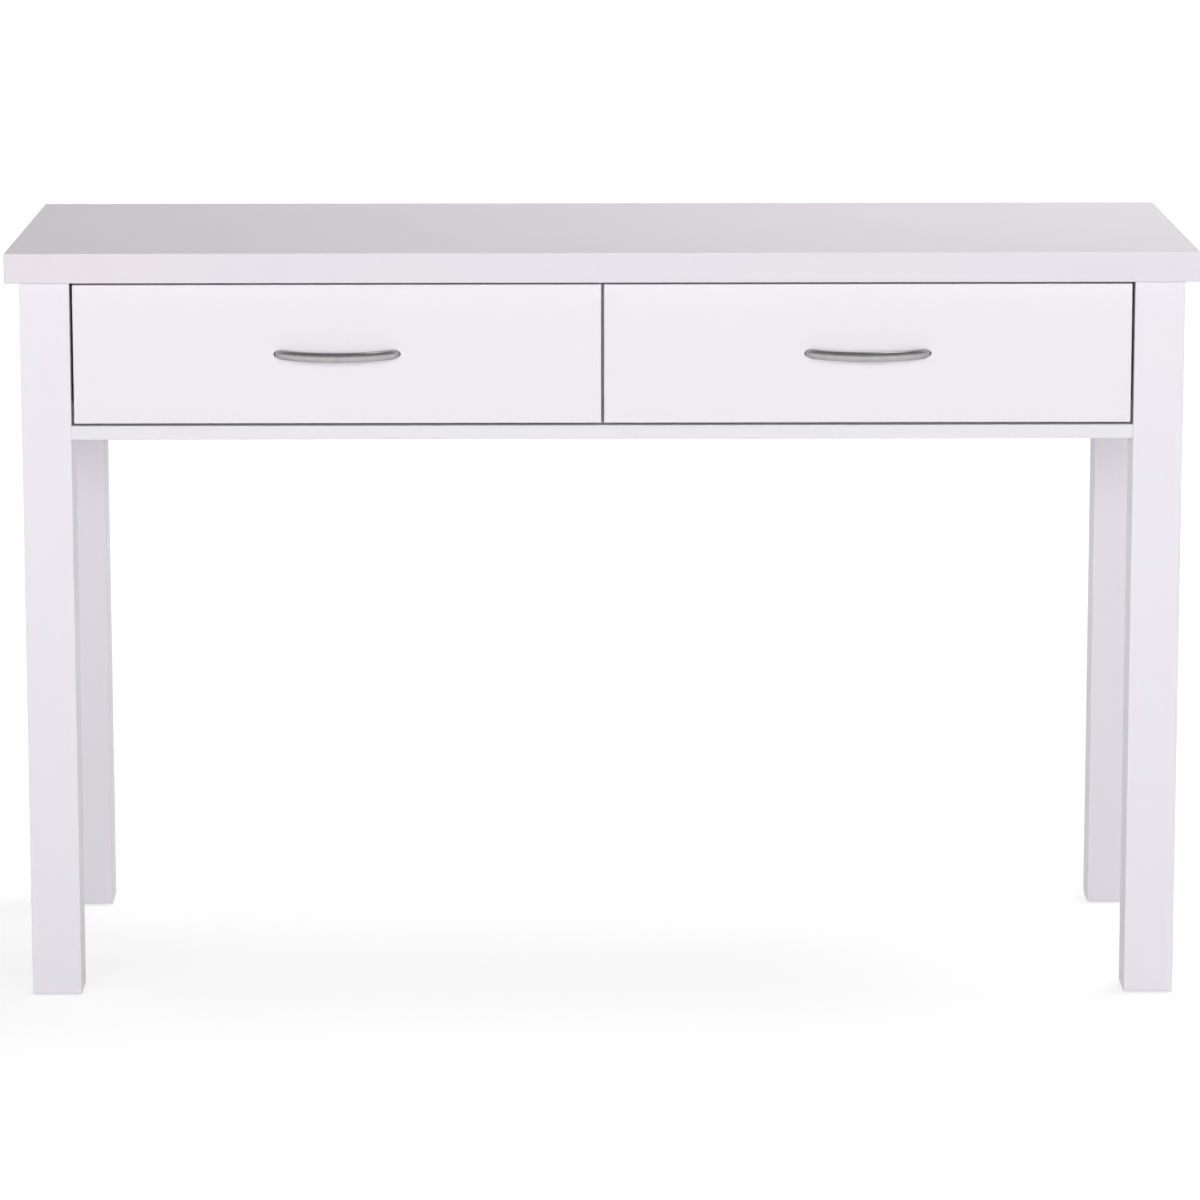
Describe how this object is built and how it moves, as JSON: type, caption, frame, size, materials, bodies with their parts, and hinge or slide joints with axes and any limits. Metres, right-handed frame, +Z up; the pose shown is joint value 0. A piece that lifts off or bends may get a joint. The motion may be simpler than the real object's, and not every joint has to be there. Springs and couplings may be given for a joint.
{
  "type": "console table",
  "caption": "Console table with a flat overhanging top, square legs and inset drawers side by side that slide out on roller runners, each with a bow handle.",
  "frame": {"origin": "on the floor, at the middle of the overall footprint, handles included", "axes": "+Z up, +X to the right along the width, -Y towards the front where the drawers open"},
  "size_m": [1.2, 0.475, 0.768],
  "materials": {
    "white_foil": "white melamine foil, satin",
    "drawer_foil": "white melamine foil, satin",
    "white_board": "white melamine-faced particle board",
    "box_board": "white foil on fibreboard",
    "hardboard": "white-faced hardboard",
    "nickel": "satin nickel",
    "zinc": "bright zinc",
    "white_steel": "white epoxy on sheet steel",
    "nylon": "natural nylon",
    "beech": "plain beech"
  },
  "bodies": {
    "case": {"table_top": "white_foil", "top_edge_bands": "white_foil", "front_left_leg": "white_foil", "front_right_leg": "white_foil", "rear_left_leg": "white_foil", "rear_right_leg": "white_foil", "foot_glides": "nylon", "left_side_panel": "white_board", "right_side_panel": "white_board", "back_panel": "white_board", "bottom_board": "white_board", "centre_divider": "white_board", "case_cam_bolts": "zinc", "case_cam_nuts": "zinc", "case_dowels": "beech", "divider_screws": "zinc", "top_brackets": "zinc", "small_screws": "zinc", "left_outer_rail": "white_steel", "left_inner_rail": "white_steel", "right_inner_rail": "white_steel", "right_outer_rail": "white_steel", "rail_axles": "zinc"},
    "left_drawer": {"left_drawer_front": "drawer_foil", "left_drawer_outer_side": "box_board", "left_drawer_inner_side": "box_board", "left_drawer_back": "box_board", "left_drawer_bottom": "hardboard", "left_drawer_handle": "nickel", "left_handle_screws": "zinc", "left_drawer_outer_runner": "white_steel", "left_drawer_inner_runner": "white_steel", "left_drawer_screws": "zinc", "left_drawer_axles": "zinc", "left_drawer_cam_bolts": "zinc", "left_drawer_cam_nuts": "zinc", "left_drawer_dowels": "beech"},
    "right_drawer": {"right_drawer_front": "drawer_foil", "right_drawer_outer_side": "box_board", "right_drawer_inner_side": "box_board", "right_drawer_back": "box_board", "right_drawer_bottom": "hardboard", "right_drawer_handle": "nickel", "right_handle_screws": "zinc", "right_drawer_outer_runner": "white_steel", "right_drawer_inner_runner": "white_steel", "right_drawer_screws": "zinc", "right_drawer_axles": "zinc", "right_drawer_cam_bolts": "zinc", "right_drawer_cam_nuts": "zinc", "right_drawer_dowels": "beech"},
    "left_outer_front_roller": {"left_outer_front_roller": "nylon"},
    "left_outer_rear_roller": {"left_outer_rear_roller": "nylon"},
    "left_inner_front_roller": {"left_inner_front_roller": "nylon"},
    "left_inner_rear_roller": {"left_inner_rear_roller": "nylon"},
    "right_outer_front_roller": {"right_outer_front_roller": "nylon"},
    "right_outer_rear_roller": {"right_outer_rear_roller": "nylon"},
    "right_inner_front_roller": {"right_inner_front_roller": "nylon"},
    "right_inner_rear_roller": {"right_inner_rear_roller": "nylon"}
  },
  "joints": [
    {"name": "left_drawer_slide", "type": "slide", "parent": "case", "child": "left_drawer", "axis": [0, -1, 0], "range_m": [0, 0.3]},
    {"name": "right_drawer_slide", "type": "slide", "parent": "case", "child": "right_drawer", "axis": [0, -1, 0], "range_m": [0, 0.3]},
    {"name": "left_outer_front_roller_spin", "type": "hinge", "parent": "case", "child": "left_outer_front_roller", "pos_m": [-0.5305, -0.1775, 0.6065], "axis": [1, 0, 0], "continuous": true},
    {"name": "left_outer_rear_roller_spin", "type": "hinge", "parent": "left_drawer", "child": "left_outer_rear_roller", "pos_m": [-0.5293, 0.193, 0.6041], "axis": [1, 0, 0], "continuous": true},
    {"name": "left_inner_front_roller_spin", "type": "hinge", "parent": "case", "child": "left_inner_front_roller", "pos_m": [-0.013, -0.1775, 0.6065], "axis": [1, 0, 0], "continuous": true},
    {"name": "left_inner_rear_roller_spin", "type": "hinge", "parent": "left_drawer", "child": "left_inner_rear_roller", "pos_m": [-0.0142, 0.193, 0.6041], "axis": [1, 0, 0], "continuous": true},
    {"name": "right_outer_front_roller_spin", "type": "hinge", "parent": "case", "child": "right_outer_front_roller", "pos_m": [0.5305, -0.1775, 0.6065], "axis": [1, 0, 0], "continuous": true},
    {"name": "right_outer_rear_roller_spin", "type": "hinge", "parent": "right_drawer", "child": "right_outer_rear_roller", "pos_m": [0.5293, 0.193, 0.6041], "axis": [1, 0, 0], "continuous": true},
    {"name": "right_inner_front_roller_spin", "type": "hinge", "parent": "case", "child": "right_inner_front_roller", "pos_m": [0.013, -0.1775, 0.6065], "axis": [1, 0, 0], "continuous": true},
    {"name": "right_inner_rear_roller_spin", "type": "hinge", "parent": "right_drawer", "child": "right_inner_rear_roller", "pos_m": [0.0142, 0.193, 0.6041], "axis": [1, 0, 0], "continuous": true}
  ],
  "couplings": [
    {"joint": "left_outer_front_roller_spin", "follows": "left_drawer_slide", "rad_per_m": 111.11},
    {"joint": "left_outer_rear_roller_spin", "follows": "left_drawer_slide", "rad_per_m": 111.11},
    {"joint": "left_inner_front_roller_spin", "follows": "left_drawer_slide", "rad_per_m": 111.11},
    {"joint": "left_inner_rear_roller_spin", "follows": "left_drawer_slide", "rad_per_m": 111.11},
    {"joint": "right_outer_front_roller_spin", "follows": "right_drawer_slide", "rad_per_m": 111.11},
    {"joint": "right_outer_rear_roller_spin", "follows": "right_drawer_slide", "rad_per_m": 111.11},
    {"joint": "right_inner_front_roller_spin", "follows": "right_drawer_slide", "rad_per_m": 111.11},
    {"joint": "right_inner_rear_roller_spin", "follows": "right_drawer_slide", "rad_per_m": 111.11}
  ]
}
